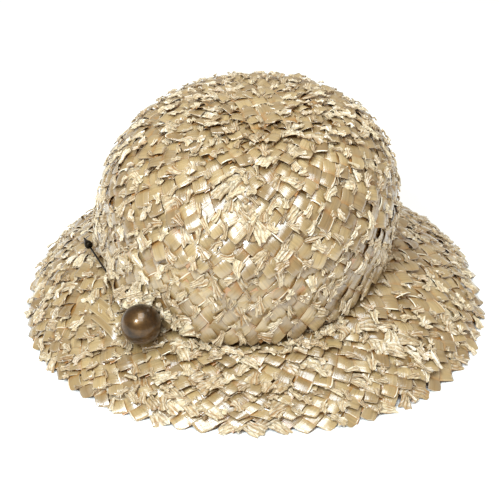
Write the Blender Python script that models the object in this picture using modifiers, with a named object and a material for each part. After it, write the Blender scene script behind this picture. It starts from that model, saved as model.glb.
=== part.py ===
"""Straw bucket hat with a ball-headed hatpin, resting on its brim.

The hat is sewn from rows of plaited straw, each lapped over the one below. Crown and brim are
lofts between oval sections: an outer face stepped row by row, and a plain inner face. A second,
hidden row peeps out under the brim's edge. The pin runs through the foot of the crown, with a
brass ball at one end and a point guard at the other.

Metres, +Z up, the hat's front towards -Y, the origin on the ground under the brim's middle.
"""
import math

import bpy
import bmesh
from mathutils import Vector

# Brim, seen from above
BRIM_HALF_WIDTH = 0.1410
BRIM_HALF_DEPTH = 0.1495
BRIM_SQUARENESS = 2.15
BRIM_EDGE_RISE = 0.0041
BRIM_BACK_LIFT = 0.0030
BRIM_CAMBER = 0.0023
BRIM_MARGIN = -0.05

# Crown, an oval dome that leans to its left as it rises
CROWN_HALF_WIDTH = 0.0892
CROWN_HALF_DEPTH = 0.1018
CROWN_RISE = 0.0911
CROWN_SQUARENESS = 2.75
CROWN_BELLY = 0.038
CROWN_SHIFT = Vector((-0.0069, -0.0013, 0.0))
CROWN_LEAN = Vector((0.0095, -0.0024, 0.0))

# Crease between crown and brim
CREASE_HEIGHT = 0.0405
CREASE_FRONT_DROP = 0.0156

# Shallow dent in the front half of the tip
DENT_CENTRE = Vector((0.004, -0.030, 0.0))
DENT_DEPTH = 0.0040
DENT_RADIUS = 0.030

# Straw: a wall of two lapped plaits, and the step where a row ends over the next
WALL = 0.0016
LIP = 0.0012
GAP = 0.0003

# Row ends on the crown, from the tip down (1 is the apex, 0 the crease)
CROWN_ROWS = (1.0, 0.89, 0.77, 0.63, 0.47, 0.31, 0.18, 0.07, 0.0)
CROWN_LINING = (0.0, 0.10, 0.25, 0.43, 0.62, 0.80, 0.93)

# Row ends on the brim, from the crease out (1 is the edge), and where the under row starts
BRIM_ROWS = (0.0, 0.32, 0.61, 0.885)
BRIM_LINING = (0.885, 0.72, 0.45, 0.18)
UNDER_ROW_START = 0.74
UNDER_ROW_BEND = 0.87
UNDER_ROW_FOOT = 0.955

# The plait's points along the edge, and how far between them it stands back (of the brim's reach)
EDGE_POINTS = 72
POINT_DEPTH = 0.05
CROWN_SEGMENTS = 72
BRIM_SEGMENTS = 2 * EDGE_POINTS

# Hatpin
BALL_CENTRE = Vector((-0.0625, -0.0975, 0.0359))
PIN_AXIS = Vector((-0.4491, 0.8851, 0.1219)).normalized()
BALL_RADIUS = 0.0113
SHAFT_RADIUS = 0.0006
BORE_RADIUS = SHAFT_RADIUS + GAP
BALL_BORE_DEPTH = 0.007
GUARD_START = 0.0795
GUARD_LENGTH = 0.0105
GUARD_RADIUS = 0.0024
GUARD_BORE_DEPTH = 0.006
POINT_TAPER = 0.004
BALL_SIDES = 24
GUARD_SIDES = 12
SHAFT_SIDES = 10
HOLE_START = 0.0165
HOLE_END = 0.0700

# The guard's outline: how wide it is, and how far along
GUARD_ROWS = (
    (0.60, 0.00),
    (0.95, 0.09),
    (1.00, 0.20),
    (0.90, 0.34),
    (0.55, 0.52),
    (0.34, 0.72),
    (0.16, 0.93),
    (0.00, 1.00),
)

# The straw bulges where the pin runs under the lowest row
SWELL_ALONG_PIN = 0.038
SWELL_HEIGHT = 0.0042
SWELL_RADIUS = 0.013

# Ball and straw press on each other: the straw gives way around the ball
POCKET_DEPTH = 0.0022
POCKET_RADIUS = 0.006

FINITE_STEP = 0.004


def signed_power(value, power):
    """The size of value raised to a power, with value's sign."""
    return math.copysign(abs(value) ** power, value)


def crease_height(angle):
    """Height of the crease: level at the sides and back, dropping as sine squared in front."""
    return CREASE_HEIGHT - CREASE_FRONT_DROP * max(0.0, -math.sin(angle)) ** 2


def crown_base(angle, arch):
    """The crown's outer face: a superellipse arch (0 crease, 1 apex) swept round an oval."""
    bend = arch * math.pi / 2
    reach = max(0.0, math.cos(bend)) ** (2 / CROWN_SQUARENESS)
    height = max(0.0, math.sin(bend)) ** (2 / CROWN_SQUARENESS)
    belly = 1 + CROWN_BELLY * 4 * height * (1 - height)
    foot = crease_height(angle)
    point = CROWN_SHIFT + CROWN_LEAN * height
    point.x += CROWN_HALF_WIDTH * reach * belly * math.cos(angle)
    point.y += CROWN_HALF_DEPTH * reach * belly * math.sin(angle)
    point.z = foot + (CREASE_HEIGHT + CROWN_RISE - foot) * height
    offset = (point - DENT_CENTRE).xy.length / DENT_RADIUS
    point.z -= DENT_DEPTH * math.exp(-offset * offset)
    return point


def brim_base(angle, spread):
    """The brim's upper face: straight rays (0 crease, 1 edge) between two ovals, cambered."""
    along_x = signed_power(math.cos(angle), 2 / BRIM_SQUARENESS)
    along_y = signed_power(math.sin(angle), 2 / BRIM_SQUARENESS)
    inner = CROWN_SHIFT + Vector((CROWN_HALF_WIDTH * math.cos(angle), CROWN_HALF_DEPTH * math.sin(angle), 0))
    outer = Vector((BRIM_HALF_WIDTH * along_x, BRIM_HALF_DEPTH * along_y, 0))
    point = inner.lerp(outer, spread)
    edge = BRIM_EDGE_RISE + BRIM_BACK_LIFT * max(0.0, math.sin(angle)) ** 6
    fall = max(0.0, spread)
    point.z = crease_height(angle) * (1 - fall) + edge * fall + BRIM_CAMBER * 4 * fall * (1 - fall)
    return point


def face_normal(surface, angle, place, low, high, flip):
    """The outward normal of a surface, from finite differences along its two parameters."""
    around = surface(angle + FINITE_STEP, place) - surface(angle - FINITE_STEP, place)
    before = max(low, place - FINITE_STEP)
    after = min(high, place + FINITE_STEP)
    along = surface(angle, after) - surface(angle, before)
    return around.cross(along).normalized() * flip


def pressed_by_ball(point, inward):
    """A straw point pressed in by the ball, less the further it lies from it."""
    distance = max(0.0, (point - BALL_CENTRE).length - BALL_RADIUS) / POCKET_RADIUS
    return point + inward * POCKET_DEPTH * math.exp(-distance * distance)


def swollen_over_pin(point, normal):
    """A crown point moved out where the pin runs behind it."""
    swell_centre = BALL_CENTRE + PIN_AXIS * SWELL_ALONG_PIN
    distance = (point - swell_centre).length / SWELL_RADIUS
    return point + normal * SWELL_HEIGHT * math.exp(-distance * distance)


def crown_point(angle, arch, out):
    """A point a distance out from the crown's outer face."""
    if arch >= 1.0:
        normal = Vector((0, 0, 1))
    else:
        normal = face_normal(crown_base, angle, arch, 0.0, 0.99, 1)
    lift = Vector((0, 0, GAP)) if arch <= 0.0 else Vector((0, 0, 0))
    if arch <= 0.0:
        normal = Vector((normal.x, normal.y, 0)).normalized()
    point = swollen_over_pin(crown_base(angle, arch) + lift + normal * out, normal)
    return pressed_by_ball(point, Vector((-normal.x, -normal.y, 0)))


def brim_point(angle, spread, out):
    """A point a distance out from the brim's upper face."""
    if spread <= 0.0:
        return brim_base(angle, spread) + Vector((0, 0, out))
    normal = face_normal(brim_base, angle, spread, 0.0, 1.0, -1)
    return pressed_by_ball(brim_base(angle, spread) + normal * out, Vector((0, 0, -1)))


def section(surface, place, out, segments, notch=0.0, phase=0, height=None):
    """One oval section. Every other point may stand back by notch, and all may lie at a height."""
    ring = []
    for index in range(segments):
        angle = 2 * math.pi * index / segments
        stands_back = (index + phase) % 2
        point = surface(angle, place - notch * stands_back, out)
        if height is not None:
            point.z = height + BRIM_BACK_LIFT * max(0.0, math.sin(angle)) ** 6
        ring.append(point)
    return ring


def loft(name, sections, closed, collection, material):
    """A closed body between sections. Open lofts start and end in a single point."""
    mesh_builder = bmesh.new()
    rings = [[mesh_builder.verts.new(point) for point in ring] for ring in sections]
    pairs = list(zip(rings, rings[1:]))
    if closed:
        pairs.append((rings[-1], rings[0]))
    for upper, lower in pairs:
        count = max(len(upper), len(lower))
        for index in range(count):
            following = (index + 1) % count
            if len(upper) == 1:
                corners = (upper[0], lower[index], lower[following])
            elif len(lower) == 1:
                corners = (upper[index], lower[0], upper[following])
            else:
                corners = (upper[index], lower[index], lower[following], upper[following])
            mesh_builder.faces.new(corners)
    bmesh.ops.recalc_face_normals(mesh_builder, faces=mesh_builder.faces)
    mesh = bpy.data.meshes.new(name)
    mesh_builder.to_mesh(mesh)
    mesh_builder.free()
    mesh.materials.append(material)
    mesh.shade_smooth()
    mesh.set_sharp_from_angle(angle=math.radians(40))
    piece = bpy.data.objects.new(name, mesh)
    collection.objects.link(piece)
    return piece


def make_crown(collection, material):
    """Crown: eight lapped rows outside, a smooth face inside."""
    sections = [[crown_point(0.0, 1.0, 0.0)]]
    for top, foot in zip(CROWN_ROWS, CROWN_ROWS[1:]):
        if top < 1.0:
            sections.append(section(crown_point, top, 0.0, CROWN_SEGMENTS))
        sections.append(section(crown_point, (top + foot) / 2, LIP / 2, CROWN_SEGMENTS))
        sections.append(section(crown_point, foot, LIP, CROWN_SEGMENTS))
    for arch in CROWN_LINING:
        sections.append(section(crown_point, arch, -WALL, CROWN_SEGMENTS))
    sections.append([crown_point(0.0, 1.0, -WALL)])
    return loft("crown", sections, False, collection, material)


def make_brim(collection, material):
    """Brim: three lapped rows above, a smooth face below, and a pointed outer edge."""
    sections = [section(brim_point, BRIM_MARGIN, 0.0, BRIM_SEGMENTS)]
    last = BRIM_ROWS[-1]
    for start, end in zip(BRIM_ROWS, BRIM_ROWS[1:]):
        notch = POINT_DEPTH if end == last else 0.0
        sections.append(section(brim_point, start, 0.0, BRIM_SEGMENTS))
        sections.append(section(brim_point, (start + end) / 2, LIP / 2, BRIM_SEGMENTS))
        sections.append(section(brim_point, end, LIP, BRIM_SEGMENTS, notch, phase=1))
    sections.append(section(brim_point, BRIM_LINING[0], -WALL, BRIM_SEGMENTS, POINT_DEPTH, phase=1))
    for spread in BRIM_LINING[1:]:
        sections.append(section(brim_point, spread, -WALL, BRIM_SEGMENTS))
    sections.append(section(brim_point, BRIM_MARGIN, -WALL, BRIM_SEGMENTS))
    return loft("brim", sections, True, collection, material)


def make_under_row(collection, material):
    """Under row: a plait tucked under the brim's edge, with a pointed rim and a flat foot."""
    top = -WALL - GAP
    floor = top - WALL
    sections = [
        section(brim_point, UNDER_ROW_START, top, BRIM_SEGMENTS),
        section(brim_point, UNDER_ROW_BEND, top, BRIM_SEGMENTS),
        section(brim_point, 1.0, top, BRIM_SEGMENTS, POINT_DEPTH),
        section(brim_point, 1.0, floor, BRIM_SEGMENTS, POINT_DEPTH, height=0.0),
        section(brim_point, UNDER_ROW_FOOT, floor, BRIM_SEGMENTS, POINT_DEPTH, height=0.0),
        section(brim_point, UNDER_ROW_BEND, floor, BRIM_SEGMENTS),
        section(brim_point, UNDER_ROW_START, floor, BRIM_SEGMENTS),
    ]
    return loft("under_row", sections, True, collection, material)


def turned(name, profile, steps, collection, material):
    """A turned piece: a profile of (radius, along) points from end to end, with Screw."""
    mesh = bpy.data.meshes.new(name)
    edges = [(index, index + 1) for index in range(len(profile) - 1)]
    mesh.from_pydata([(radius, 0, along) for radius, along in profile], edges, [])
    mesh.materials.append(material)
    piece = bpy.data.objects.new(name, mesh)
    collection.objects.link(piece)
    screw = piece.modifiers.new("turn", "SCREW")
    screw.steps = steps
    screw.render_steps = steps
    screw.use_merge_vertices = True
    screw.merge_threshold = 0.00001
    screw.use_smooth_shade = True
    return piece


def ball_profile():
    """Half circle from the far pole up to the bore's mouth, then in along the bore."""
    rows = BALL_SIDES // 2
    mouth = math.acos(BORE_RADIUS / BALL_RADIUS)
    points = [(0.0, -BALL_RADIUS)]
    for row in range(1, rows + 1):
        bend = -math.pi / 2 + (mouth + math.pi / 2) * row / rows
        points.append((BALL_RADIUS * math.cos(bend), BALL_RADIUS * math.sin(bend)))
    floor = points[-1][1] - BALL_BORE_DEPTH
    points += [(BORE_RADIUS, floor), (0.0, floor)]
    return list(reversed(points))


def guard_profile():
    """A dart: a round collar at the bore's mouth, drawn out to a point at the far end."""
    outside = [(GUARD_RADIUS * wide, GUARD_START + GUARD_LENGTH * along) for wide, along in GUARD_ROWS]
    floor = GUARD_START + GUARD_BORE_DEPTH
    inside = [(BORE_RADIUS, GUARD_START), (BORE_RADIUS, floor), (0.0, floor)]
    return list(reversed(outside)) + inside


def make_shaft(collection, material):
    """Pin shaft: a straight wire from inside the ball to inside the guard, ground to a point."""
    start = math.sqrt(BALL_RADIUS ** 2 - BORE_RADIUS ** 2) - BALL_BORE_DEPTH + GAP
    end = GUARD_START + GUARD_BORE_DEPTH - GAP
    profile = [(0.0, end), (SHAFT_RADIUS, end - POINT_TAPER), (SHAFT_RADIUS, start), (0.0, start)]
    return turned("hatpin_shaft", profile, SHAFT_SIDES, collection, material)


def cut_pin_hole(crown, cutters, holder):
    """A round hole through the crown's foot along the pin."""
    length = HOLE_END - HOLE_START
    builder = bmesh.new()
    bmesh.ops.create_cone(
        builder, cap_ends=True, segments=SHAFT_SIDES, radius1=BORE_RADIUS, radius2=BORE_RADIUS, depth=length)
    bmesh.ops.translate(builder, verts=builder.verts, vec=(0, 0, HOLE_START + length / 2))
    mesh = bpy.data.meshes.new("hatpin_hole")
    builder.to_mesh(mesh)
    builder.free()
    cutter = bpy.data.objects.new("hatpin_hole", mesh)
    cutters.objects.link(cutter)
    cutter.parent = holder
    cutter.display_type = "WIRE"
    cutter.hide_render = True
    cut = crown.modifiers.new("pin hole", "BOOLEAN")
    cut.operation = "DIFFERENCE"
    cut.object = cutter


def finish(name, colour, roughness, metallic):
    """A Principled material."""
    material = bpy.data.materials.new(name)
    material.use_nodes = True
    shader = material.node_tree.nodes["Principled BSDF"]
    shader.inputs["Base Color"].default_value = (*colour, 1.0)
    shader.inputs["Roughness"].default_value = roughness
    shader.inputs["Metallic"].default_value = metallic
    return material


def main():
    for piece in list(bpy.data.objects):
        bpy.data.objects.remove(piece, do_unlink=True)
    hat = bpy.data.collections.new("straw_bucket_hat")
    cutters = bpy.data.collections.new("cutters")
    for collection in (hat, cutters):
        bpy.context.scene.collection.children.link(collection)

    crown_straw = finish("crown straw", (0.62, 0.48, 0.29), 0.45, 0.0)
    brim_straw = finish("brim straw", (0.60, 0.46, 0.27), 0.48, 0.0)
    under_straw = finish("under row straw", (0.54, 0.40, 0.22), 0.50, 0.0)
    aged_brass = finish("aged brass", (0.17, 0.11, 0.05), 0.32, 1.0)
    dark_steel = finish("dark steel", (0.10, 0.09, 0.08), 0.35, 1.0)
    dark_brass = finish("blackened brass", (0.07, 0.06, 0.045), 0.40, 1.0)

    holder = bpy.data.objects.new("hatpin_axis", None)
    hat.objects.link(holder)
    holder.location = BALL_CENTRE
    holder.rotation_mode = "QUATERNION"
    holder.rotation_quaternion = PIN_AXIS.to_track_quat("Z", "Y")

    crown = make_crown(hat, crown_straw)
    cut_pin_hole(crown, cutters, holder)
    make_brim(hat, brim_straw)
    make_under_row(hat, under_straw)
    ball = turned("hatpin_ball", ball_profile(), BALL_SIDES, hat, aged_brass)
    shaft = make_shaft(hat, dark_steel)
    guard = turned("hatpin_guard", guard_profile(), GUARD_SIDES, hat, dark_brass)
    for piece in (ball, shaft, guard):
        piece.parent = holder


main()
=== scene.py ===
"""Straw bucket hat with a ball-headed hatpin, resting on its brim on a pale floor.

The hat is a plait of flat, satin straw strips sewn in lapped rows. Each visible crossing of the
plait is a strip of its own that arches over its square and dives under its neighbours. About one
in six is crushed, and frayed fans of crushed straw stand out between the squares. A thin woven
backing closes the inside. The pin, its ball and its guard are turned.

Metres, +Z up, the hat's front towards -Y, the origin on the ground under the brim's middle.
"""
import math
from collections import namedtuple
from math import pi

import bpy
import numpy as np
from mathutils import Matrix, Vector


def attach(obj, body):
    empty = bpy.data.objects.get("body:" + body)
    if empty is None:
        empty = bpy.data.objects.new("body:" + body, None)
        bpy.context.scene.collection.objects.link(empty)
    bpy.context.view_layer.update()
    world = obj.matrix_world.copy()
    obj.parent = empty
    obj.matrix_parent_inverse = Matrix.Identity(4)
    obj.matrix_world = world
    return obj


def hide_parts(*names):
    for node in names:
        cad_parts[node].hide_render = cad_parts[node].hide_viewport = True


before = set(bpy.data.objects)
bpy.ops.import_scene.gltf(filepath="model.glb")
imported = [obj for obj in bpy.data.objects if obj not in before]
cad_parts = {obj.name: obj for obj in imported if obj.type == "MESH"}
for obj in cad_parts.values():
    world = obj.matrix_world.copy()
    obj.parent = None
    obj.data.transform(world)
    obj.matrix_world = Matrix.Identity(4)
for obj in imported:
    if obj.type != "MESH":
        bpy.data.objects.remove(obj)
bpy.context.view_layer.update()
MM = 0.001

# Camera, at the photograph's place
CAMERA_DISTANCE = 0.799
CAMERA_ELEVATION = math.radians(31.103)
CAMERA_TARGET = (-0.0027, 0.0, 0.0282)
CAMERA_LENS = 90.87
CAMERA_SENSOR = 36.0

# Brim and crown, the same curves as the solids
BRIM_HALF_WIDTH = 0.141
BRIM_HALF_DEPTH = 0.1495
BRIM_SQUARENESS = 2.15
BRIM_EDGE_RISE = 0.0041
BRIM_BACK_LIFT = 0.003
BRIM_CAMBER = 0.0023
BRIM_REACH = 0.062
CROWN_HALF_WIDTH = 0.0892
CROWN_HALF_DEPTH = 0.1018
CROWN_RISE = 0.0911
CROWN_SQUARENESS = 2.75
CROWN_BELLY = 0.038
CROWN_SHIFT = (-0.0069, -0.0013)
CROWN_LEAN = (0.0095, -0.0024)
CREASE_HEIGHT = 0.0405
CREASE_FRONT_DROP = 0.0156
DENT_CENTRE = (0.004, -0.03)
DENT_DEPTH = 0.004
DENT_RADIUS = 0.03
FLOOR_GAP = 0.00005

# Row ends: on the crown from the tip down (1 apex, 0 crease), on the brim from the crease out
CROWN_ENDS = (0.945, 0.89, 0.77, 0.63, 0.47, 0.31, 0.18, 0.07, 0.0)
BRIM_ENDS = (0.335, 0.68, 0.94)
UNDER_ROW_END = 1.08
CROWN_OVERLAP = 0.0008

# Hatpin
BALL_CENTRE = np.array((-0.0625, -0.0975, 0.0359))
PIN_HEADING = np.array((-0.4491, 0.8851, 0.1219))
PIN_AXIS = PIN_HEADING / np.linalg.norm(PIN_HEADING)
BALL_RADIUS = 0.0113
SHAFT_RADIUS = 0.0006
SHAFT_START = 0.0046
SHAFT_END = 0.0852
GUARD_START = 0.0795
GUARD_LENGTH = 0.0105
GUARD_RADIUS = 0.0024
# The guard's outline: share of its radius, share of its length
GUARD_ROWS = (
    (0.6, 0.0), (0.95, 0.09), (1.0, 0.2), (0.9, 0.34),
    (0.55, 0.52), (0.34, 0.72), (0.16, 0.93), (0.0, 1.0),
)

# How the straw gives way: a ridge over the hidden pin, a pocket for the ball, a bed for the bare pin
COVER_START = 0.012
COVER_END = 0.045
COVER_HEIGHT = 0.0018
COVER_MOST = 0.009
COVER_RADIUS = 0.008
POCKET_DEPTH = 0.0022
POCKET_RADIUS = 0.006
BALL_CLEARANCE = 0.0004
BARE_START = 0.054
BARE_PRESS = 0.0035
BARE_RADIUS = 0.005

# Plait: pitch of the teeth, levels of squares in a row and those of them that show, how far a
# strip rises over its square, how sharply, how it puffs up, and how far below its row's bed it dives
TOOTH_PITCH = 0.0134
EDGE_TEETH = 72
LEVELS = 4
EXPOSED = 3
OVER = 0.00072
OVER_POWER = 0.8
PUFF = 0.00018
DIVE = 0.0004

# Beds of the rows: base at the row's top, and rise from there to its foot
CROWN_BED = (-0.0028, 0.0024)
CROWN_LAST_BED = (-0.001, 0.0018)
BRIM_FIRST_BED = (-0.0012, 0.0016)
BRIM_BED = (-0.0018, 0.0024)
BRIM_LAST_BED = (-0.0018, 0.0016)
UNDER_BED = (-0.0026, -0.0006)
UNDER_STEP = 0.0058
# How far the rows' teeth stand up, and the crown's rows near the tip, where they stand up most
TIP_ROWS = (1, 2, 3, 4)
TIP_LIFT = 0.0013
CROWN_LIFT = 0.0007
BRIM_LIFT = 0.001
UNDER_LIFT = 0.0006
# The turn from each row's first tooth to the next row's
CROWN_TURN = 0.37
BRIM_TURN = 0.41

# A strip along its length (1 is the edge of its own square, 2 the middle of the next), and how
# far it's tucked under (mm)
CROSSING = ((-2.0, 0), (-1.5, 0), (-1.1, 0), (-0.6, 0), (0.0, 0), (0.6, 0), (1.1, 0), (1.5, 0), (2.0, 0))
TOOTH = CROSSING[:6] + ((0.93, 0), (1.0, 0.35), (0.84, 0.9))
# Across its width: place, how far it's tucked under (mm), whether it's the rim, and how much painted shade
# it gets
PLAIN_SIDES = (
    (-0.88, 0.34, 0.0, 1.0), (-1.0, 0.14, 0.3, 0.5), (-0.92, 0.0, 0.1, 0.0),
    (0.0, 0.0, 0.0, 0.0), (0.92, 0.0, 0.1, 0.0), (1.0, 0.14, 0.3, 0.5),
    (0.88, 0.34, 0.0, 1.0),
)
FOLDED_SIDE = (
    (-0.86, 0.5, 0.6, 0.0), (-1.0, 0.22, 0.6, 0.0), (-0.9, 0.0, 0.0, 0.0),
    (0.0, 0.0, 0.0, 0.0), (0.72, 0.02, 0.0, 0.0), (0.8, 0.12, 0.1, 0.9),
    (0.88, -0.22, 1.0, 0.0), (0.98, -0.1, 1.0, 0.0), (1.02, 0.25, 1.0, 0.0),
    (0.86, 0.6, 1.0, 0.0),
)
CROWN_FOLDED = 0.12
BRIM_FOLDED = 0.22

# How smooth strips differ: shares of a square, then heights in metres
STRIP_WIDTH = (0.88, 1.08)
STRIP_SKEW = 0.11
STRIP_SLIP = 0.09
STRIP_PUFF = (0.3, 1.5)
STRIP_TILT = 0.00048
STRIP_LEAN = 0.00055
STRIP_CURL = 0.0004
STRIP_CURL_MOST = 0.0018
TOOTH_ROUNDING = 0.16
# Where along a strip the painted warm shade starts, how long it takes, and the height it stays below
SHADE_START = 0.85
SHADE_FADE = 0.5
SHADE_BELOW = 0.3

# Which squares are crushed: their share on a worn run, and on the others as a part of the row's
# share. A share of the teeth lie the other way
WORN_CRUSHED = 0.5
OTHER_CRUSHED = 0.6
FLIPPED = 0.4

# Crushed strips: points along and across, then shares of a square and heights in metres
CRUSH_CELLS = (6, 8)
CRUSH_REACH = (-1.3, 1.15)
CRUSH_WIDTH = (0.65, 1.05)
CRUSH_FANNING = 0.25
CRUSH_SKEW = 0.12
CRUSH_RAGGED = 0.05
CRUSH_END_RAGGED = 0.2
CRUSH_SIDE_RAGGED = 0.09
CRUSH_RISE = (0.0, 0.0008)
CRUSH_PLEAT = (0.00045, 0.0008)
CRUSH_FOLD = 0.0006
FOLD_WAVES = 2
FOLD_LENGTH = (0.003, 0.006)

# Fans: points along and across, sizes in metres, angles in radians, the rest as shares
FAN_CELLS = (5, 8)
FAN_REACH = (0.0022, 0.0054)
FAN_SPREAD = (0.4, 1.1)
FAN_PINCH = 0.9
FAN_NECK = 0.4
FAN_BEND = 0.15
FAN_UNEVEN = 0.12
FAN_RAGGED = 0.08
FAN_END_RAGGED = 0.18
FAN_RISE = (0.3, 1.0)
FAN_ARCH = (0.62, 1.0)
FAN_BED = 0.001
FAN_PLEAT = 0.00075
FAN_TALLEST = 0.0013

# Tufts over the ball and along the crease: how many, how far from it (m), turns (degrees), height
BALL_TUFTS = (20, (0.008, 0.015), (-136.0, -114.0), 0.0042)
CREASE_TUFTS = (40, (0.002, 0.01), (-122.0, -52.0), 0.0026)
# Loose strands beside the ball: way out from the crease, turn of the middle, half length and width
STRAND_OUT = (0.0135, 0.0165, 0.0195, 0.0228)
STRAND_TURN = (-142.0, -140.0, -140.5, -138.0)
STRAND_LENGTH = (0.013, 0.018)
STRAND_WIDTH = (0.0021, 0.0028)

# Tip patch: its bed, how its strips slip, and where it sinks under the first row
TIP_BED = -0.0004
TIP_HEADING = math.radians(20)
TIP_SLIP = 0.0004
TIP_RADIUS = 0.013
TIP_FADE = 0.006
TIP_SINK = 0.0012

# Backings: columns round, rings of the hidden face, depths of squares and laps, then how far the
# inner and the hidden face lie under the plait's face
BACK_COLUMNS = 330
BACK_RINGS = 12
BACK_RELIEF = 0.0007
BACK_LAP = 0.0007
BACK_FADE = 0.006
CROWN_BACK = (0.0041, 0.0034)
BRIM_BACK = (0.003, 0.0024)
BRIM_BACK_TOP = -0.001
BRIM_BACK_FOOT = 0.8
WELD_DISTANCE = 0.000002

# Patterns, in cells a metre along and across the fibres. Real fibres lie about 0.4 mm apart, too
# fine to show in the render, so streaks are drawn 0.9 mm apart and bands of them 1.4 mm. Crushed
# straw has ribs 0.7 mm apart and small creases 2 to 4 mm long. The backing's are a strip's count
STREAKS = (40.0, 1150.0, 1.0)
BANDS = (25.0, 700.0, 1.0)
RIBS = (150.0, 1500.0, 1.0)
CREASES = (260.0, 420.0, 1.0)
BACK_STREAKS = 22.0
# The brass has clouds of wear 9 mm wide and specks of 1 mm, the drawn wire marks of 0.8 mm
BRASS_CLOUDS = 110.0
BRASS_SPECKS = 900.0
WIRE_MARKS = 1200.0
# A pattern's common range, and how far each sheet's map may start from zero (m)
PATTERN_RANGE = {"From Min": 0.3, "From Max": 0.7}
MAP_SCATTER = 9
MAP_SHARE = 0.7

# Studio: a warm surround and cool, soft lights. Azimuth and elevation from the hat's front in
# degrees, distance and size in metres, power in watts
FLOOR_EDGE = 6.0
FLOOR_COLOUR = "#FBFBFA"
SURROUND = "#FFEFD9"
SURROUND_STRENGTH = 0.55
COOL = (0.8, 0.92, 1.0)
LIGHT_TARGET = (0, 0, 0.05)
LIGHTS = (
    ("key", -31, 45, 1.5, 0.3, 15.0),
    ("high", 0, 60, 1.6, 0.7, 8.5),
    ("top", 14, 80, 1.6, 0.8, 13.0),
)

Row = namedtuple("Row", "surface foot step teeth levels radius base rise lift turn")


def signed_power(value, power):
    """The size of value raised to a power, with value's sign."""
    return np.sign(value) * np.abs(value) ** power


def crease_height(angle):
    """Height of the crease: level at the sides and back, dropping as sine squared in front."""
    return CREASE_HEIGHT - CREASE_FRONT_DROP * np.maximum(0.0, -np.sin(angle)) ** 2


def crown_base(angle, arch):
    """The crown's face: a superellipse arch (0 crease, 1 apex) swept round an oval, with a dent."""
    bend = arch * pi / 2
    reach = np.clip(np.cos(bend), 0, None) ** (2 / CROWN_SQUARENESS)
    height = np.clip(np.sin(bend), 0, None) ** (2 / CROWN_SQUARENESS)
    belly = 1 + CROWN_BELLY * 4 * height * (1 - height)
    foot = crease_height(angle)
    x = CROWN_SHIFT[0] + CROWN_LEAN[0] * height + CROWN_HALF_WIDTH * reach * belly * np.cos(angle)
    y = CROWN_SHIFT[1] + CROWN_LEAN[1] * height + CROWN_HALF_DEPTH * reach * belly * np.sin(angle)
    z = foot + (CREASE_HEIGHT + CROWN_RISE - foot) * height
    offset = np.hypot(x - DENT_CENTRE[0], y - DENT_CENTRE[1]) / DENT_RADIUS
    z = z - DENT_DEPTH * np.exp(-offset * offset)
    return np.stack((x, y, z), -1)


def crown_normal(angle, arch):
    """The arch's outward normal: reach and height, each to the squareness less one, over its radius."""
    bend = arch * pi / 2
    power = 2 / CROWN_SQUARENESS * (CROWN_SQUARENESS - 1)
    reach = np.clip(np.cos(bend), 0, None) ** power
    height = np.clip(np.sin(bend), 0, None) ** power
    x = reach * np.cos(angle) / CROWN_HALF_WIDTH
    y = reach * np.sin(angle) / CROWN_HALF_DEPTH
    normal = np.stack((x, y, height / CROWN_RISE), -1)
    return normal / np.linalg.norm(normal, axis=-1, keepdims=True)


def brim_base(angle, spread):
    """The brim's upper face: straight rays (0 crease, 1 edge) between two ovals, cambered. Its
    edge rises at the back as the sixth power of the sine."""
    inner_x = CROWN_SHIFT[0] + CROWN_HALF_WIDTH * np.cos(angle)
    inner_y = CROWN_SHIFT[1] + CROWN_HALF_DEPTH * np.sin(angle)
    outer_x = BRIM_HALF_WIDTH * signed_power(np.cos(angle), 2 / BRIM_SQUARENESS)
    outer_y = BRIM_HALF_DEPTH * signed_power(np.sin(angle), 2 / BRIM_SQUARENESS)
    edge = BRIM_EDGE_RISE + BRIM_BACK_LIFT * np.maximum(0.0, np.sin(angle)) ** 6
    fall = np.maximum(0.0, spread)
    x = inner_x + (outer_x - inner_x) * spread
    y = inner_y + (outer_y - inner_y) * spread
    z = crease_height(angle) * (1 - fall) + edge * fall + BRIM_CAMBER * 4 * fall * (1 - fall)
    return np.stack((x, y, z), -1)


def brim_normal(angle, spread):
    """The brim's upward normal: the cross product of its slopes, by small differences."""
    small = 0.004
    around = brim_base(angle + small, spread) - brim_base(angle - small, spread)
    along = brim_base(angle, spread + small) - brim_base(angle, spread - small)
    normal = np.cross(along, around)
    return normal / np.linalg.norm(normal, axis=-1, keepdims=True)


# The crown's mean meridian: arc length from the apex and mean radius at each arch
MERIDIAN_ARCH = np.linspace(1.0, 0.0, 801)
MERIDIAN = crown_base(np.arange(8)[:, None] * pi / 4, MERIDIAN_ARCH)
MERIDIAN_STEPS = np.linalg.norm(np.diff(MERIDIAN, axis=1), axis=-1).mean(0)
MERIDIAN_ARC = np.concatenate(((0.0,), np.cumsum(MERIDIAN_STEPS)))
MERIDIAN_RADIUS = np.cos(MERIDIAN_ARCH * pi / 2) ** (2 / CROWN_SQUARENESS)
MERIDIAN_RADIUS = MERIDIAN_RADIUS * (CROWN_HALF_WIDTH + CROWN_HALF_DEPTH) / 2
CROWN_ARC = MERIDIAN_ARC[-1]


def pressed_by_ball(points, inward):
    """Points pressed inward by the ball, by a bell curve of their distance from it."""
    distance = np.linalg.norm(points - BALL_CENTRE, axis=-1, keepdims=True) - BALL_RADIUS
    distance = np.maximum(0.0, distance)
    return points + inward * POCKET_DEPTH * np.exp(-(distance / POCKET_RADIUS) ** 2)


def clear_of_ball(points):
    """Points too near the ball moved straight out to its clearance."""
    offset = points - BALL_CENTRE
    distance = np.linalg.norm(offset, axis=-1, keepdims=True)
    reach = BALL_RADIUS + BALL_CLEARANCE
    return np.where(distance < reach, BALL_CENTRE + offset * reach / distance, points)


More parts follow.
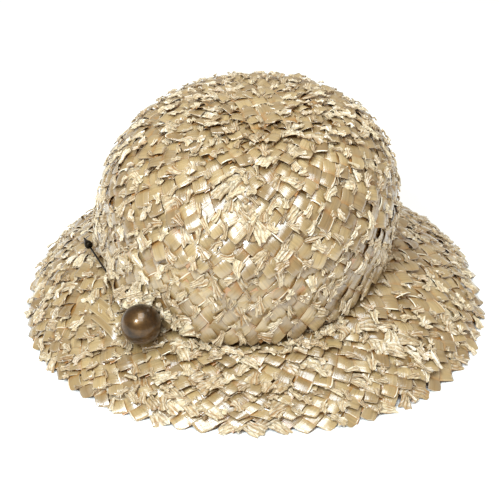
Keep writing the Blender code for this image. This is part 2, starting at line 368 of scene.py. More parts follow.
def on_crown(down, turn, out):
    """Points on the crown: an arc length from the apex (straight down past the crease), a turn and
    a height out. The straw rises over the pin, lies low under its bare end and gives way to the
    ball, each by a bell curve of the distance."""
    down, turn, out = np.broadcast_arrays(down, turn, out)
    arch = np.interp(down, MERIDIAN_ARC, MERIDIAN_ARCH)
    normal = crown_normal(turn, arch)
    points = crown_base(turn, arch)
    points[..., 2] -= np.maximum(0.0, down - CROWN_ARC)
    travel = np.clip((points - BALL_CENTRE) @ PIN_AXIS, COVER_START, COVER_END)[..., None]
    offset = BALL_CENTRE + travel * PIN_AXIS - points
    needed = (offset * normal).sum(-1, keepdims=True)
    beside = np.linalg.norm(offset - needed * normal, axis=-1, keepdims=True)
    cover = np.clip(needed + COVER_HEIGHT, 0, COVER_MOST) * np.exp(-(beside / COVER_RADIUS) ** 2)
    points = points + normal * (out[..., None] + cover)
    travel = np.clip((points - BALL_CENTRE) @ PIN_AXIS, BARE_START, SHAFT_END)[..., None]
    beside = np.linalg.norm(points - BALL_CENTRE - travel * PIN_AXIS, axis=-1, keepdims=True)
    points = points - normal * BARE_PRESS * np.exp(-(beside / BARE_RADIUS) ** 2)
    inward = -normal * np.array((1.0, 1.0, 0.0))
    return clear_of_ball(pressed_by_ball(points, inward))


def on_brim(down, turn, out):
    """Points on the brim: a way out from the crease, a turn and a height above it."""
    down, turn, out = np.broadcast_arrays(down, turn, out)
    spread = down / BRIM_REACH
    points = brim_base(turn, spread) + brim_normal(turn, spread) * out[..., None]
    points = clear_of_ball(pressed_by_ball(points, np.array((0.0, 0.0, -1.0))))
    points[..., 2] = np.maximum(points[..., 2], FLOOR_GAP)
    return points


def lay(row, down0, turn0, down, along, out):
    """Lay sheets on a row's surface: offsets add to the centre's place, on the crown in polar form
    about the apex, so that they stay true at the tip."""
    if row.surface is on_crown:
        widen = down0 / row.radius
        x = down0 + down
        y = along * widen
        return on_crown(np.hypot(x, y), turn0 + np.arctan2(y, x), out)
    return on_brim(down0 + down, turn0 + along / row.radius, out)


def teeth_round(radius):
    """The number of teeth round a row's end."""
    return int(round(2 * pi * radius / TOOTH_PITCH))


def crown_rows():
    """The crown's rows, from the tip down. The first two show fewer squares, and the last reaches
    a little past the crease."""
    rows = []
    arcs = np.interp(-np.array(CROWN_ENDS), -MERIDIAN_ARCH, MERIDIAN_ARC)
    tops = np.concatenate(((0.0,), arcs[:-1]))
    for number, (top, foot) in enumerate(zip(tops, arcs)):
        radius = np.interp(foot, MERIDIAN_ARC, MERIDIAN_RADIUS)
        step = (foot - top) / (EXPOSED if number > 1 else 2)
        levels = (1, 2)[number] if number < 2 else LEVELS
        last = number == len(arcs) - 1
        foot = foot + CROWN_OVERLAP if last else foot
        base, rise = CROWN_LAST_BED if last else CROWN_BED
        lift = TIP_LIFT if number in TIP_ROWS else CROWN_LIFT
        turn = number * CROWN_TURN
        rows.append(Row(on_crown, foot, step, teeth_round(radius), levels, radius, base, rise, lift, turn))
    return rows


def brim_rows():
    """The brim's rows. The last has its teeth between those of the under row."""
    rows = []
    mean = (CROWN_HALF_WIDTH + CROWN_HALF_DEPTH) / 2
    outer = (BRIM_HALF_WIDTH + BRIM_HALF_DEPTH) / 2
    top = 0.0
    for number, (end, bed) in enumerate(zip(BRIM_ENDS, (BRIM_FIRST_BED, BRIM_BED, BRIM_LAST_BED))):
        last = number == len(BRIM_ENDS) - 1
        radius = mean + (outer - mean) * end
        teeth = EDGE_TEETH if last else teeth_round(radius)
        step = (end - top) * BRIM_REACH / EXPOSED
        turn = pi / EDGE_TEETH if last else number * BRIM_TURN
        rows.append(Row(on_brim, end * BRIM_REACH, step, teeth, LEVELS, radius, *bed, BRIM_LIFT, turn))
        top = end
    return rows


def under_rows():
    """The row tucked under the brim's edge, whose teeth rest on the ground."""
    radius = (BRIM_HALF_WIDTH + BRIM_HALF_DEPTH) / 2
    foot = UNDER_ROW_END * BRIM_REACH
    return [Row(on_brim, foot, UNDER_STEP, EDGE_TEETH, EXPOSED, radius, *UNDER_BED, UNDER_LIFT, 0.0)]


def squares(row):
    """The level and tooth of each of a row's squares."""
    grids = np.meshgrid(np.arange(row.levels), np.arange(row.teeth), indexing="ij")
    return (grid.ravel() for grid in grids)


def crossings(row, rng, worn_share):
    """The centres, slants and levels of a row's crossings, and which are crushed. Slants take
    turns from level to level, as in a plain weave, and crushed ones follow the strips' runs."""
    level, tooth = squares(row)
    place = tooth + 0.5 * (level % 2)
    down = row.foot - row.step * (level + 1)
    turn = row.turn + place * 2 * pi / row.teeth
    slant = np.where(level % 2 == 0, 1.0, -1.0)
    flipped = (level == 0) & (rng.random(len(level)) < FLIPPED)
    slant = np.where(flipped, -slant, slant)
    run = np.floor(place + 0.5 * level).astype(int) % row.teeth
    worn_runs = rng.random(row.teeth) < worn_share
    share = np.where(worn_runs[run], WORN_CRUSHED, OTHER_CRUSHED * worn_share)
    crushed = rng.random(len(level)) < share
    return down, turn, slant, level, crushed


def column(values):
    """One number a sheet, shaped to go with the sheets' grids."""
    return values[:, None, None]


def sheet_grids(count, along, across):
    """The two parameters of a number of sheets, as grids."""
    s = np.asarray(along)[None, :, None] + np.zeros((count, 1, len(across)))
    t = np.asarray(across)[None, None, :] + np.zeros((count, len(along), 1))
    return s, t


def scattered(rng, values):
    """A map's coordinate, moved by a random amount for each sheet."""
    return values + column(rng.uniform(0, MAP_SCATTER, len(values)))


def own_tone(rng, grid):
    """A random tone for each sheet."""
    return column(rng.random(len(grid))) + np.zeros_like(grid)


def arch_over(s):
    """A strip's height along its length: a cosine, a little squared off, that is 1 at its middle,
    0 at its square's edge and -1 at the next square's middle."""
    return signed_power(np.cos(s * pi / 2), OVER_POWER)


def slanted(row, slant, s, t):
    """The ways along and down a row, from the places along and across a slanting strip."""
    half = pi * row.radius / row.teeth
    return column(slant) * (s - t) * half / 2, (s + t) * row.step / 2


def lapped(row, down):
    """Height of a row's bed: from its base at its top to its rise at its foot."""
    exposed = EXPOSED * row.step
    share = np.clip((down - (row.foot - exposed)) / exposed, -0.4, 1.1)
    return row.base + row.rise * share


def standing(row, rng, level, down):
    """How far each tooth stands up, most at its point."""
    raised = np.abs(rng.normal(0, 1, len(level))) * row.lift
    return column(raised * (level == 0)) * np.clip(down / row.step, 0, 1) ** 1.5


def creases(rng, x, y, waves, shortest, longest):
    """Folded relief from -1 to 1 for each sheet: the mean of triangle waves, each with its own
    direction, length and phase."""
    shape = (waves, len(x)) + (1,) * (x.ndim - 1)
    heading = rng.uniform(0, pi, shape)
    length = rng.uniform(shortest, longest, shape)
    phase = rng.uniform(0, 2, shape)
    travel = (x * np.cos(heading) + y * np.sin(heading)) / length + phase
    return (np.abs(travel % 2 - 1) * 2 - 1).mean(0)


def pleats(rng, count, columns):
    """Sharp pleats: columns of points are ridges and valleys in turn, by a random amount."""
    turns = np.where(np.arange(columns) % 2 == 0, 1.0, -1.0)
    return turns * rng.uniform(0.2, 1.0, (count, 1, columns))


def smooth_strips(row, rng, down0, turn0, slant, level, long_table, across_table):
    """Satin strips: flat across with tucked rims, along them an arch that dives under the next
    squares. Each is slipped, skewed, tilted, curled and puffed a little, and a tooth's point is
    rounded by the cube of its two parameters' product."""
    count = len(down0)
    along_table = np.array(long_table)
    across = np.array(across_table)
    mirror = np.where(rng.random(count) < 0.5, -1.0, 1.0)
    s, t = sheet_grids(count, along_table[:, 0], across[:, 0])
    t = column(mirror) * t
    width = column(rng.uniform(*STRIP_WIDTH, count))
    skew = column(rng.normal(0, STRIP_SKEW, count))
    slip = rng.normal(0, STRIP_SLIP, (2, count))
    point = (np.maximum(0, s) * np.maximum(0, t)) ** 3
    rounded = 1 - column((level == 0) * TOOTH_ROUNDING) * point
    s_laid = (s + skew * t + column(slip[0])) * rounded
    t_laid = (t * width - skew * s + column(slip[1])) * rounded
    along, down = slanted(row, slant, s_laid, t_laid)
    arch = arch_over(s)
    puff = column(rng.uniform(*STRIP_PUFF, count) * PUFF)
    tilt = column(rng.normal(0, STRIP_TILT, count))
    lean = column(rng.normal(0, STRIP_LEAN, count))
    curl = column(np.minimum(rng.exponential(STRIP_CURL, count), STRIP_CURL_MOST))
    side = column(np.where(rng.random(count) < 0.5, -1.0, 1.0))
    bulge = puff * (1 - t * t) + tilt * t + lean * s + curl * np.maximum(0, side * t) ** 3
    out = lapped(row, column(down0) + down) + OVER * arch + np.exp(-s * s) * bulge
    out = out + standing(row, rng, level, down)
    tuck = along_table[None, :, 1, None] + across[None, None, :, 1]
    out = np.maximum(out - tuck * MM, row.base - DIVE)
    points = lay(row, column(down0), column(turn0), down, along, out)
    half_side = row.step * MAP_SHARE
    uv = np.stack((scattered(rng, s * half_side), scattered(rng, t * half_side)), -1)
    tucked_end = (along_table[None, :, 1, None] > 0) * 1.0
    rim = np.maximum(across[None, None, :, 2], tucked_end) + np.zeros_like(s)
    # Painted warm shade where the strip dives under its neighbours, and on its tucked and grooved sides.
    painted_shade = np.clip((np.abs(s) - SHADE_START) / SHADE_FADE, 0, 1) * (arch < SHADE_BELOW)
    painted_shade = np.maximum(painted_shade, across[None, None, :, 3])
    return points, uv, own_tone(rng, s), rim, painted_shade, slant * mirror


def crushed_strips(row, rng, down0, turn0, slant, level):
    """Crushed strips: a square and a little more, in pleats along its fibres that fan out to one
    end, folded at random and ragged."""
    count = len(down0)
    rows, columns = CRUSH_CELLS
    s, t = sheet_grids(count, np.linspace(*CRUSH_REACH, rows), np.linspace(-1.0, 1.0, columns))
    side = math.hypot(pi * row.radius / row.teeth, row.step) / 2
    x = s * side
    y = t * side
    relief = 0.8 * pleats(rng, count, columns) + 0.4 * rng.uniform(-1, 1, s.shape)
    folds = creases(rng, x, y, FOLD_WAVES, *FOLD_LENGTH)
    ragged = CRUSH_RAGGED + CRUSH_END_RAGGED * (np.abs(s) > 1.0)
    width = column(rng.uniform(*CRUSH_WIDTH, count))
    width = width * (1 + column(rng.normal(0, CRUSH_FANNING, count)) * s)
    skew = column(rng.normal(0, CRUSH_SKEW, count))
    s_laid = s + skew * t + ragged * rng.uniform(-1, 1, s.shape)
    t_laid = t * width - skew * s + CRUSH_SIDE_RAGGED * rng.uniform(-1, 1, s.shape)
    along, down = slanted(row, slant, s_laid, t_laid)
    height = column(rng.uniform(*CRUSH_RISE, count))
    depth = column(rng.uniform(*CRUSH_PLEAT, count))
    edge = np.clip((1.05 - np.abs(t)) * 4, 0, 1) * np.clip((1.2 - np.abs(s)) * 4, 0, 1)
    out = lapped(row, column(down0) + down) + OVER * arch_over(s)
    out = out + height * edge + depth * relief + CRUSH_FOLD * folds
    out = out + standing(row, rng, level, down)
    points = lay(row, column(down0), column(turn0), down, along, np.maximum(out, row.base - DIVE))
    uv = np.stack((scattered(rng, x), scattered(rng, y)), -1)
    # Painted shade in the pleats' valleys and the folds' hollows; the rim attribute here is the pleats'
    # ridges, which get a painted highlight.
    painted_shade = np.clip(-0.9 * relief - 0.35 * folds - 0.25, 0, 1)
    return points, uv, own_tone(rng, s), np.clip(relief, 0, 1), painted_shade, slant


def fans(row, rng, down0, turn0, tallest):
    """Crushed bits between the squares: ragged sheets that widen away from a pinch, in uneven
    lengthwise pleats. Their height is a part of a sine arch, low at the pinch."""
    count = len(down0)
    rows, columns = FAN_CELLS
    ring, swing = sheet_grids(count, np.linspace(-1.0, 1.0, rows), np.linspace(-1.0, 1.0, columns))
    swing = swing + rng.uniform(-FAN_UNEVEN, FAN_UNEVEN, (count, 1, columns))
    reach = column(rng.uniform(*FAN_REACH, count))
    spread = column(rng.uniform(*FAN_SPREAD, count))
    pinch = column(rng.uniform(-FAN_PINCH, FAN_PINCH, count))
    heading = column(rng.uniform(-pi, pi, count))
    bend = column(rng.normal(0, FAN_BEND, count))
    relief = pleats(rng, count, columns) + 0.3 * rng.uniform(-1, 1, ring.shape)
    far = np.abs(ring - pinch) / (1 + np.abs(pinch))
    ragged = FAN_RAGGED + FAN_END_RAGGED * (far > 0.9)
    ragged = 1 + ragged * rng.uniform(-1, 1, (2,) + ring.shape)
    forward = reach * ring * ragged[0] * np.cos(swing * spread)
    widened = FAN_NECK + (1 - FAN_NECK) * far
    beside = reach * widened * ragged[1] ** 1.5 * np.sin(swing * spread)
    heading = heading + bend * ring
    x = forward * np.cos(heading) - beside * np.sin(heading)
    y = forward * np.sin(heading) + beside * np.cos(heading)
    rise = column(rng.uniform(*FAN_RISE, count)) * tallest
    arch = column(rng.uniform(*FAN_ARCH, count))
    profile = np.sin(far * arch * pi) ** 0.7
    out = lapped(row, column(down0) + y) + FAN_BED + rise * profile
    out = out + FAN_PLEAT * relief * (0.35 + 0.65 * far)
    points = lay(row, column(down0), column(turn0), y, x, out)
    uv = np.stack((scattered(rng, reach * ring), reach * swing * spread), -1)
    # Painted shade in the pleats' valleys; the rim attribute here is the pleats' ridges, which get a
    # painted highlight.
    painted_shade = np.clip(-0.9 * relief - 0.25, 0, 1)
    return points, uv, own_tone(rng, ring), np.clip(relief, 0, 1), painted_shade, -np.ones(count)


def fans_between(row, rng, share):
    """Fans at a share of the corners of the row's squares, half a tooth beside their centres."""
    level, tooth = squares(row)
    chosen = rng.random(len(level)) < share
    level, tooth = level[chosen], tooth[chosen]
    place = tooth + 0.5 * ((level + 1) % 2) + rng.normal(0, 0.1, len(level))
    down0 = row.foot - row.step * (level + 1.1 + rng.normal(0, 0.12, len(level)))
    turn0 = row.turn + place * 2 * pi / row.teeth
    return fans(row, rng, down0, turn0, FAN_TALLEST + 0.7 * row.lift)


def tufts(row, rng, count, way, turns, tallest):
    """Frayed fans beside the crease: up the crown over the ball, or out along the brim's front."""
    down0 = rng.uniform(*way, count)
    if row.surface is on_crown:
        down0 = CROWN_ARC - down0
    turn0 = np.radians(rng.uniform(*turns, count))
    return fans(row, rng, down0, turn0, tallest)


def long_strips(row, rng):
    """Loose satin strands beside the ball: narrow sheets along the crease, bowed by a parabola,
    whose ends dive by the fourth power of the way from their middle."""
    down0 = np.array(STRAND_OUT)
    turn0 = np.radians(STRAND_TURN)
    count = len(down0)
    s, t = sheet_grids(count, np.linspace(-1, 1, 13), np.linspace(-1, 1, 5))
    length = column(rng.uniform(*STRAND_LENGTH, count))
    width = column(rng.uniform(*STRAND_WIDTH, count))
    bow = column(rng.normal(0.0014, 0.0005, count))
    along = s * length
    down = t * width + bow * (s * s - 0.4) + column(rng.normal(0, 0.0006, count)) * s
    tilt = column(rng.normal(0, 0.0003, count))
    out = 0.0012 - 0.0036 * s ** 4 + 0.0003 * np.cos(t * 2.2) + tilt * t
    points = lay(row, column(down0), column(turn0), down, along, out)
    uv = np.stack((scattered(rng, along), scattered(rng, t * width)), -1)
    tone = column(rng.uniform(0.3, 0.8, count)) + np.zeros_like(s)
    rim = 0.25 * (np.abs(t) > 0.9)
    return points, uv, tone, rim, np.zeros_like(s), -np.ones(count)


def tip_patch(rng):
    """The plait's start, a little plain weave flat over the apex: strips on a square lattice whose
    directions take turns, sunk towards its edge."""
    grids = np.meshgrid(np.arange(-1, 2), np.arange(-2, 3))
    across_at, down_at = (grid.ravel() for grid in grids)
    count = len(across_at)
    along_table = np.array(CROSSING)
    across = np.array(PLAIN_SIDES)
    s, t = sheet_grids(count, along_table[:, 0], across[:, 0])
    upright = column((across_at + down_at) % 2 == 0)
    heading = TIP_HEADING + column(rng.normal(0, 0.08, count))
    side = TOOTH_PITCH / math.sqrt(2)
    x = np.where(upright, s, t) * side / 2
    y = np.where(upright, t, s) * side / 2
    x = x + column(across_at * side + rng.normal(0, TIP_SLIP, count))
    y = y + column(down_at * side + rng.normal(0, TIP_SLIP, count))
    puff = column(rng.uniform(*STRIP_PUFF, count) * PUFF)
    out = TIP_BED + OVER * arch_over(s) + puff * (1 - t * t) * np.exp(-s * s)
    out = out - across[None, None, :, 1] * MM
    out = out - TIP_SINK * np.clip((np.hypot(x, y * 0.7) - TIP_RADIUS) / TIP_FADE, 0, 1)
    x_turned = x * np.cos(heading) - y * np.sin(heading)
    y_turned = x * np.sin(heading) + y * np.cos(heading)
    points = on_crown(np.hypot(x_turned, y_turned), np.arctan2(y_turned, x_turned), out)
    uv = np.stack((scattered(rng, s * side / 2), t * side / 2), -1)
    rim = across[None, None, :, 2] + np.zeros_like(s)
    # Painted warm shade where the strip dives under its neighbours.
    painted_shade = np.clip((np.abs(s) - SHADE_START) / SHADE_FADE, 0, 1)
    return points, uv, own_tone(rng, s), rim, painted_shade, np.where(upright.ravel(), 1.0, -1.0)


def sheet_mesh(name, batches, smooth):
    """One mesh from batches of sheets, as quads wound to face out: the other way round on sheets
    with a mirrored slant."""
    points, uvs, faces, attributes = [], [], [], {"tone": [], "rim": [], "painted_shade": []}
    start = 0
    for position, uv, tone, rim, painted_shade, slant in batches:
        count, rows, columns = position.shape[:3]
        corner = np.arange(rows * columns).reshape(rows, columns)
        quad = np.stack((corner[:-1, :-1], corner[:-1, 1:], corner[1:, 1:], corner[1:, :-1]), -1)
        quads = quad.reshape(-1, 4)[None] + (np.arange(count) * rows * columns)[:, None, None] + start
        quads = np.where((slant < 0)[:, None, None], quads[..., ::-1], quads)
        faces.append(quads.reshape(-1, 4))
        points.append(position.reshape(-1, 3))
        uvs.append(uv.reshape(-1, 2))
        for key, value in zip(attributes, (tone, rim, painted_shade)):
            attributes[key].append(value.reshape(-1))
        start += count * rows * columns
    points = np.concatenate(points)
    faces = np.concatenate(faces)
    attributes = {key: np.concatenate(value) for key, value in attributes.items()}
    return grid_mesh(name, points, faces, np.concatenate(uvs), attributes, smooth)


def put(name, data):
    """A new object in the scene."""
    made = bpy.data.objects.new(name, data)
    bpy.context.scene.collection.objects.link(made)
    return made


def grid_mesh(name, points, faces, uv, attributes, smooth):
    """A mesh object from arrays of points and quads, with a UV map and float attributes."""
    mesh = bpy.data.meshes.new(name)
    mesh.vertices.add(len(points))
    mesh.vertices.foreach_set("co", points.astype(np.float32).ravel())
    mesh.loops.add(faces.size)
    mesh.loops.foreach_set("vertex_index", faces.ravel().astype(np.int32))
    mesh.polygons.add(len(faces))
    mesh.polygons.foreach_set("loop_start", np.arange(0, faces.size, 4, dtype=np.int32))
    mesh.polygons.foreach_set("use_smooth", np.full(len(faces), smooth))
    mesh.uv_layers.new(name="fibre")
    mesh.uv_layers["fibre"].data.foreach_set("uv", uv[faces.ravel()].astype(np.float32).ravel())
    for key, value in attributes.items():
        mesh.attributes.new(key, "FLOAT", "POINT")
        mesh.attributes[key].data.foreach_set("value", value.astype(np.float32))
    mesh.update(calc_edges=True)
    mesh.validate()
    return put(name, mesh)


def plait(name, rows, seed, worn_share, fan_share):
    """The rows' smooth strips, crushed strips and loose fans, as three pieces."""
    rng = np.random.default_rng(seed)
    smooth, crushed, loose = [], [], []
    crown = rows[0].surface is on_crown
    if crown:
        smooth.append(tip_patch(rng))
    for row in rows:
        down, turn, slant, level, is_crushed = crossings(row, rng, worn_share)
        is_folded = rng.random(len(down)) < (CROWN_FOLDED if crown else BRIM_FOLDED)
        for table, chosen in ((TOOTH, level == 0), (CROSSING, level > 0)):
            for sides, folded in ((FOLDED_SIDE, is_folded), (PLAIN_SIDES, ~is_folded)):
                picked = (part[chosen & folded & ~is_crushed] for part in (down, turn, slant, level))
                smooth.append(smooth_strips(row, rng, *picked, table, sides))
        if row is rows[-1] and crown:
            loose.append(tufts(row, rng, *BALL_TUFTS))
        if row is rows[0] and name == "brim":
            smooth.append(long_strips(row, rng))
            loose.append(tufts(row, rng, *CREASE_TUFTS))
        picked = (part[is_crushed] for part in (down, turn, slant, level))
        crushed.append(crushed_strips(row, rng, *picked))
        loose.append(fans_between(row, rng, fan_share))
    return (sheet_mesh(name + "_strips", smooth, True),
            sheet_mesh(name + "_crushed", crushed, False),
            sheet_mesh(name + "_scraps", loose, False))


def close_poles(piece):
    """Weld the points that meet at a piece's poles."""
    weld = piece.modifiers.new("poles", "WELD")
    weld.merge_threshold = WELD_DISTANCE


def backing(name, surface, rows, top, foot, fine, depths):
    """A closed shell behind the plait. Its inner face shows the plait's back, in squares that dip
    at their ends by a cosine and laps that deepen down each row. Its hidden face is plain. The two
    meet at the foot, and on the brim at the top too; on the crown each closes in a pole."""
    turn = np.arange(BACK_COLUMNS) * 2 * pi / BACK_COLUMNS
    inside = np.linspace(top, foot, fine)
    hidden = np.linspace(foot, top, BACK_RINGS)
    feet = np.array([row.foot for row in rows])
    steps = np.array([row.step for row in rows])
    teeth = np.array([row.teeth for row in rows])
    number = np.clip(np.searchsorted(feet, inside), 0, len(rows) - 1)
    level = (feet[number] - inside) / steps[number]
    place = turn[None, :] / (2 * pi) * teeth[number][:, None]
    a = place + level[:, None] / 2
    b = place - level[:, None] / 2
    over = (np.floor(a) + np.floor(b)) % 2 == 0
    own = np.where(over, (a % 1) * 2 - 1, (b % 1) * 2 - 1)
    relief = BACK_RELIEF * np.cos(own * pi / 2) - 0.0002
    lap = BACK_LAP * (level[:, None] / EXPOSED)
    crown = surface is on_crown
    fade = np.clip(inside[:, None] / BACK_FADE, 0, 1) if crown else 1.0
    inner = surface(inside[:, None], turn[None, :], -(depths[0] + (relief + lap) * fade))
    outer = surface(hidden[:, None], turn[None, :], np.full((BACK_RINGS, BACK_COLUMNS), -depths[1]))
    points = np.concatenate((inner, outer))
    rings = len(points)
    corner = np.arange(rings * BACK_COLUMNS).reshape(rings, BACK_COLUMNS)
    after = np.roll(corner, -1, axis=1)
    faces = np.stack((corner[:-1], after[:-1], after[1:], corner[1:]), -1).reshape(-1, 4)
    if not crown:
        seam = np.stack((corner[-1], after[-1], after[0], corner[0]), -1)
        faces = np.concatenate((faces, seam))
    uv = np.concatenate((np.stack((a, b), -1), np.zeros((BACK_RINGS, BACK_COLUMNS, 2))))
    zeros = np.zeros(rings * BACK_COLUMNS)
    piece = grid_mesh(name, points.reshape(-1, 3), faces, uv.reshape(-1, 2), {"tone": zeros}, True)
    close_poles(piece)
    return piece


def turned(name, profile, sides):
    """A turned piece on the pin's axis: a profile of (radius, along) points swept round it."""
    profile = np.array(profile)
    side = np.cross(PIN_AXIS, (0.0, 0.0, 1.0))
    side = side / np.linalg.norm(side)
    other = np.cross(PIN_AXIS, side)
    turn = np.arange(sides) * 2 * pi / sides
    around = np.cos(turn)[:, None] * side + np.sin(turn)[:, None] * other
    points = BALL_CENTRE + profile[:, 1, None, None] * PIN_AXIS + profile[:, 0, None, None] * around[None]
    corner = np.arange(len(profile) * sides).reshape(len(profile), sides)
    after = np.roll(corner, -1, axis=1)
    faces = np.stack((corner[:-1], corner[1:], after[1:], after[:-1]), -1).reshape(-1, 4)
    uv = np.stack(np.broadcast_arrays(profile[:, 1, None], turn[None]), -1).reshape(-1, 2)
    piece = grid_mesh(name, points.reshape(-1, 3), faces[:, ::-1], uv, {}, True)
    close_poles(piece)
    return piece


def linear(code):
    """A linear colour from an sRGB hex code."""
    channels = [int(code[place:place + 2], 16) / 255 for place in (1, 3, 5)]
    curved = [c / 12.92 if c <= 0.04045 else ((c + 0.055) / 1.055) ** 2.4 for c in channels]
    return (*curved, 1.0)


def plug(tree, node, inputs):
    """Link sockets to a node's inputs, or set their values."""
    for socket, value in inputs.items():
        if isinstance(value, bpy.types.NodeSocket):
            tree.links.new(value, node.inputs[socket])
        else:
            node.inputs[socket].default_value = value


def add(tree, kind, inputs=None, **settings):
    """Add a shader node, set its settings and inputs, and give back its outputs."""
    made = tree.nodes.new("ShaderNode" + kind)
    for name, value in settings.items():
        setattr(made, name, value)
    plug(tree, made, inputs or {})
    return made.outputs


def blank(name):
    """A new material with a Principled shader, its tree and its shader."""
    material = bpy.data.materials.new(name)
    material.use_nodes = True
    tree = material.node_tree
    return material, tree, tree.nodes["Principled BSDF"]


def painted(tree, colour, layers):
    """A colour with others laid over it, each by its own share."""
    for share, code in layers:
        inputs = {0: share, 6: colour, 7: linear(code)}
        colour = add(tree, "Mix", inputs, data_type="RGBA")[2]
    return colour


def grained(tree, colour, grains):
    """A colour multiplied by patterns, each with its range spread from a dark to a light factor."""
    for pattern, dark, bright in grains:
        inputs = {**PATTERN_RANGE, "Value": pattern, "To Min": dark, "To Max": bright}
        factor = add(tree, "MapRange", inputs)[0]
        inputs = {0: 1.0, 6: colour, 7: factor}
        colour = add(tree, "Mix", inputs, data_type="RGBA", blend_type="MULTIPLY")[2]
    return colour


def straw_inputs(tree):
    """The straw's map along its fibres, and its tone, rim and painted shade attributes."""
    uv = add(tree, "UVMap", uv_map="fibre")["UV"]
    keys = ("tone", "rim", "painted_shade")
    return uv, *(add(tree, "Attribute", attribute_name=key)["Fac"] for key in keys)


def satin_straw(name, low, high, rim_code, shade):
    """Glazed viscose straw, a flat split ribbon: satin along fine fibres, with paler folded rims
    and a painted warm shade where it dives under its neighbours. Its thick glaze, a clear coat,
    mirrors the lights as soft white patches."""
    material, tree, shader = blank(name)
    uv, tone, rim, painted_shade = straw_inputs(tree)
    fibres = add(tree, "Mapping", {"Vector": uv, "Scale": STREAKS})["Vector"]
    inputs = {"Vector": fibres, "Scale": 1.0, "Detail": 3.0, "Roughness": 0.6}
    streak = add(tree, "TexNoise", inputs)["Fac"]
    coarse = add(tree, "Mapping", {"Vector": uv, "Scale": BANDS})["Vector"]
    band = add(tree, "TexNoise", {"Vector": coarse, "Scale": 1.0, "Detail": 1.0})["Fac"]
    colour = painted(tree, linear(low), ((tone, high),))
    colour = grained(tree, colour, ((streak, 0.8, 1.16), (band, 0.9, 1.08)))
    # The last layer is painted warm shade where the strip dives under or is tucked in.
    colour = painted(tree, colour, ((rim, rim_code), (painted_shade, shade)))
    inputs = {**PATTERN_RANGE, "Value": streak, "To Min": 0.26, "To Max": 0.38}
    rough = add(tree, "MapRange", inputs)[0]
    height = add(tree, "Math", {0: streak, 1: band}, operation="ADD")[0]
    bump = add(tree, "Bump", {"Height": height, "Distance": 0.0003, "Strength": 0.5})[0]
    tangent = add(tree, "Tangent", direction_type="UV_MAP", uv_map="fibre")[0]
    plug(tree, shader, {
        "Base Color": colour, "Roughness": rough, "Normal": bump, "Coat Normal": bump,
        "IOR": 1.56, "Coat Weight": 1.0, "Coat IOR": 1.8, "Coat Roughness": 0.22,
        "Tangent": tangent, "Anisotropic": 0.6, "Anisotropic Rotation": 0.25,
    })
    return material


def crushed_straw(name, low, high, ridge_highlight, shade):
    """The same straw crushed and frayed: thin, pale, sharp pleats with a painted highlight on their
    ridges, painted warm shade in their hollows and painted shade along small creases."""
    material, tree, shader = blank(name)
    uv, tone, rim, painted_shade = straw_inputs(tree)
    ribs = add(tree, "Mapping", {"Vector": uv, "Scale": RIBS})["Vector"]
    inputs = {"Vector": ribs, "Scale": 1.0, "Detail": 3.0, "Distortion": 0.4}
    fine = add(tree, "TexNoise", inputs)["Fac"]
    cells = add(tree, "Mapping", {"Vector": uv, "Scale": CREASES})["Vector"]
    crease = add(tree, "TexVoronoi", {"Vector": cells, "Scale": 1.0}, feature="DISTANCE_TO_EDGE")[0]
    # Darker lines along the creases' edges: painted shade in the creases.
    painted_crease_shade = add(tree, "MapRange", {"Value": crease, "From Max": 0.09, "To Min": 0.5})[0]
    # The ridge colour, laid on by the rim attribute, is a painted highlight on the pleats' ridges.
    colour = painted(tree, linear(low), ((tone, high), (rim, ridge_highlight)))
    colour = grained(tree, colour, ((fine, 0.8, 1.1),))
    inputs = {0: 1.0, 6: colour, 7: painted_crease_shade}
    colour = add(tree, "Mix", inputs, data_type="RGBA", blend_type="MULTIPLY")[2]
    # Painted warm shade in the pleats' hollows.
    colour = painted(tree, colour, ((painted_shade, shade),))
    height = add(tree, "Math", {0: fine, 1: crease}, operation="ADD")[0]
    bump = add(tree, "Bump", {"Height": height, "Distance": 0.0004, "Strength": 0.5})[0]
    plug(tree, shader, {
        "Base Color": colour, "Normal": bump, "Roughness": 0.32, "IOR": 1.52,
        "Coat Weight": 0.7, "Coat Roughness": 0.27,
    })
    return material


